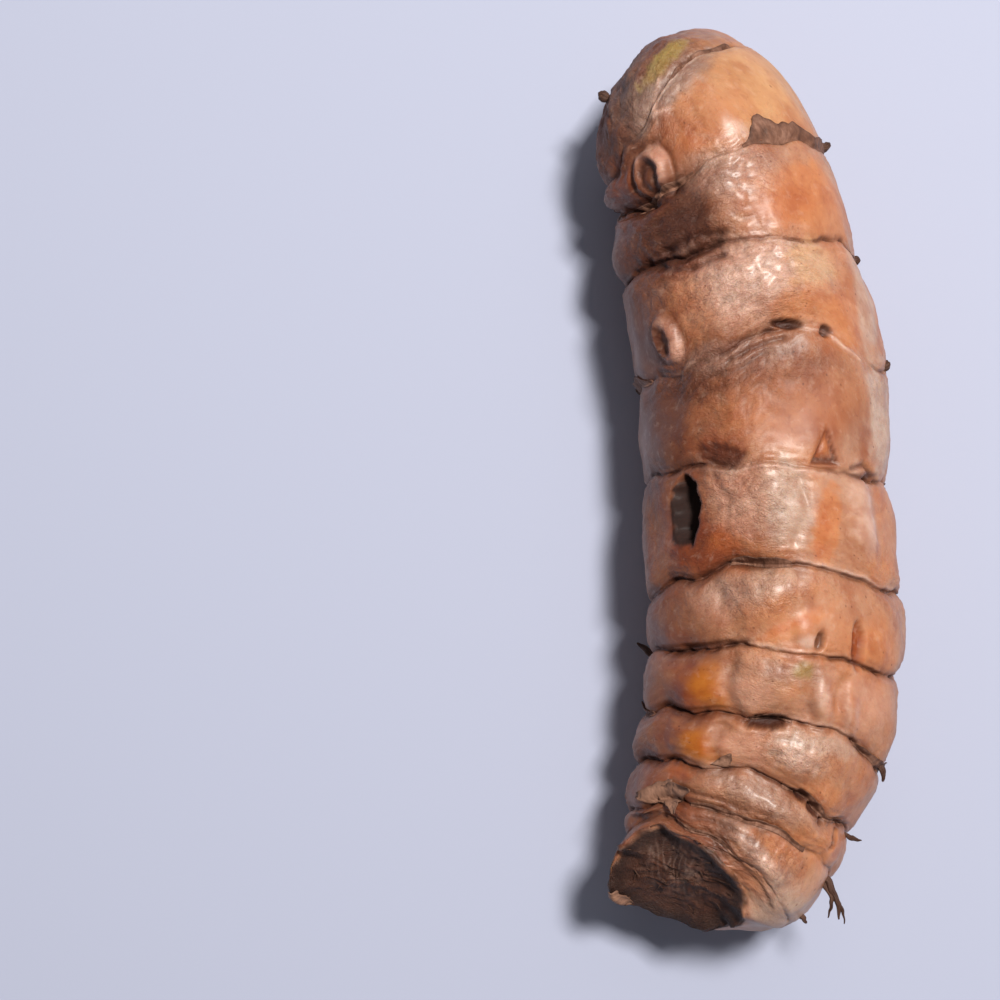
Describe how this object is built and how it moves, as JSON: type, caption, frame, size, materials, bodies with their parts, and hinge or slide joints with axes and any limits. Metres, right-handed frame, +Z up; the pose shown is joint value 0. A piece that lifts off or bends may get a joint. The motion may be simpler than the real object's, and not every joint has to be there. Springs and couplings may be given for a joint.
{
  "type": "turmeric root",
  "caption": "Whole fresh turmeric root, a gently curved ringed finger with a rounded tip, a broken scar end, buds and root stubs, lying on its side.",
  "frame": {"origin": "on the resting surface, under the middle of the root's box", "axes": "+Y along the root towards its rounded tip, +Z up from the resting surface, +X to the right when the root is seen from above with its tip away from the viewer"},
  "size_m": [0.0312, 0.0898, 0.0234],
  "materials": {
    "root_skin": "thin tan and orange skin, semi-gloss on the swellings",
    "broken_flesh": "dried dark fibrous break, matte",
    "dry_scale": "dry papery leaf-sheath remains and rootlets, matte"
  },
  "bodies": {
    "root": {"turmeric_root": "root_skin"}
  },
  "joints": []
}
